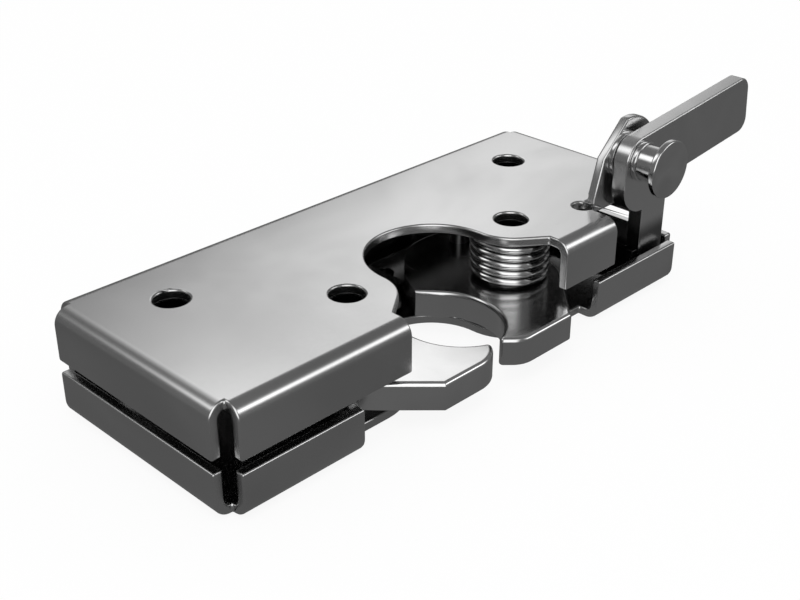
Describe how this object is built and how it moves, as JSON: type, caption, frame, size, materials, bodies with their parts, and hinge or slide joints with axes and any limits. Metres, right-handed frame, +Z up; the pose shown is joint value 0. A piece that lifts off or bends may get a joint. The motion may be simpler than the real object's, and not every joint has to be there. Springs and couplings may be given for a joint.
{
  "type": "rotary latch",
  "caption": "Flat rotary latch: two rimmed steel plates, hooked jaws round a striker throat, and a side lever that frees them through a slide and a lock pawl.",
  "frame": {"origin": "midway between the two jaw pivots, on the mounting face under the bottom plate", "axes": "+X along the case towards the lever's end, +Y away from the striker, +Z up from the mounting face"},
  "size_m": [0.1491, 0.0545, 0.0385],
  "materials": {
    "plate_steel": "zinc plated, satin",
    "jaw_steel": "zinc plated, satin",
    "lever_steel": "zinc plated, satin",
    "turned_steel": "zinc plated, turned",
    "spring_wire": "bright wire"
  },
  "bodies": {
    "case": {"top_plate": "plate_steel", "bottom_plate": "plate_steel", "left_jaw_bush": "turned_steel", "right_jaw_bush": "turned_steel", "left_jaw_washer": "turned_steel", "right_jaw_washer": "turned_steel", "left_back_spacer": "turned_steel", "right_back_spacer": "turned_steel", "left_jaw_spring": "spring_wire", "right_jaw_spring": "spring_wire", "pawl_key": "jaw_steel", "slide_guide_stud": "turned_steel", "slide_return_spring": "spring_wire", "lever_pivot_stud": "turned_steel", "lever_washer": "turned_steel", "lever_retaining_ring": "turned_steel"},
    "left_jaw": {"left_jaw": "jaw_steel", "left_spring_peg": "turned_steel"},
    "right_jaw": {"right_jaw": "jaw_steel", "right_spring_peg": "turned_steel"},
    "lock_pawl": {"lock_pawl": "jaw_steel", "pawl_drive_pin": "turned_steel"},
    "release_slide": {"release_slide": "plate_steel"},
    "release_lever": {"release_lever": "lever_steel"}
  },
  "joints": [
    {"name": "lever_swing", "type": "hinge", "parent": "case", "child": "release_lever", "pos_m": [0.0477, -0.0105, 0.0298], "axis": [0, 1, 0], "range_deg": [0, 18]},
    {"name": "slide_travel", "type": "slide", "parent": "case", "child": "release_slide", "axis": [-1, 0, 0], "range_m": [0, 0.0073], "deforming": ["slide_return_spring"]},
    {"name": "pawl_travel", "type": "slide", "parent": "case", "child": "lock_pawl", "axis": [0, 1, 0], "range_m": [0, 0.006]},
    {"name": "left_jaw_turn", "type": "hinge", "parent": "case", "child": "left_jaw", "pos_m": [-0.0221, 0, 0.00655], "axis": [0, 0, -1], "range_deg": [0, 30]},
    {"name": "right_jaw_turn", "type": "hinge", "parent": "case", "child": "right_jaw", "pos_m": [0.0221, 0, 0.00655], "axis": [0, 0, 1], "range_deg": [0, 30]}
  ],
  "couplings": [
    {"joint": "slide_travel", "follows": "lever_swing", "m_per_rad": 0.023236},
    {"joint": "pawl_travel", "follows": "lever_swing", "m_per_rad": 0.019098},
    {"joint": "left_jaw_turn", "follows": "lever_swing", "ratio": 1.6667},
    {"joint": "right_jaw_turn", "follows": "lever_swing", "ratio": 1.6667}
  ]
}
